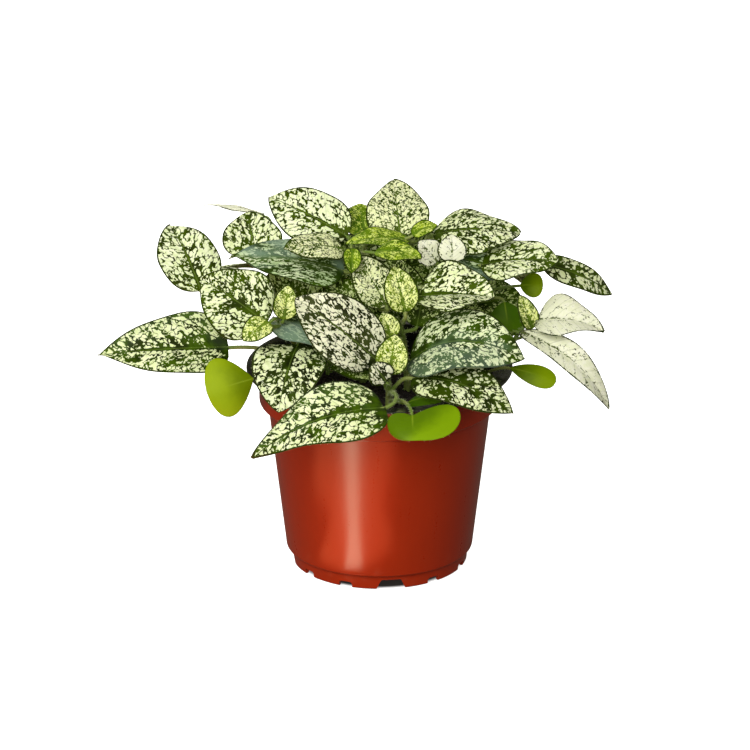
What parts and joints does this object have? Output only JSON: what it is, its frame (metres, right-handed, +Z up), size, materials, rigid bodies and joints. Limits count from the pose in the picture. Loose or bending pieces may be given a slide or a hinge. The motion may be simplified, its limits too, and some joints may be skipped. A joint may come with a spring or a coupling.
{
  "type": "potted polka dot plant",
  "caption": "Young polka dot plant with cream-spotted leaves, standing in soil in a black liner pot inside a red nursery pot.",
  "frame": {"origin": "middle of the flat underside of the outer pot, where it rests on the table", "axes": "+Z up the pot, -Y towards the side the picture shows as the front, +X towards its right"},
  "size_m": [0.2231, 0.1782, 0.1608],
  "materials": {
    "outer_pot": "satin brick-red moulded plastic",
    "liner_pot": "glossy black moulded plastic",
    "soil": "dark crumbly potting soil",
    "foliage": "green leaves with cream splashes, softly glossy"
  },
  "bodies": {
    "root": {"outer_pot": "outer_pot", "liner_pot": "liner_pot", "soil": "soil", "leafy_stem_front": "foliage", "leafy_stem_left": "foliage", "leafy_stem_left_back": "foliage", "leafy_stem_middle": "foliage", "leafy_stem_centre": "foliage", "leafy_stem_right": "foliage", "leafy_stem_right_back": "foliage", "leafy_stem_back": "foliage", "leafy_stem_back_left": "foliage", "leafy_stem_back_right": "foliage"}
  },
  "joints": []
}
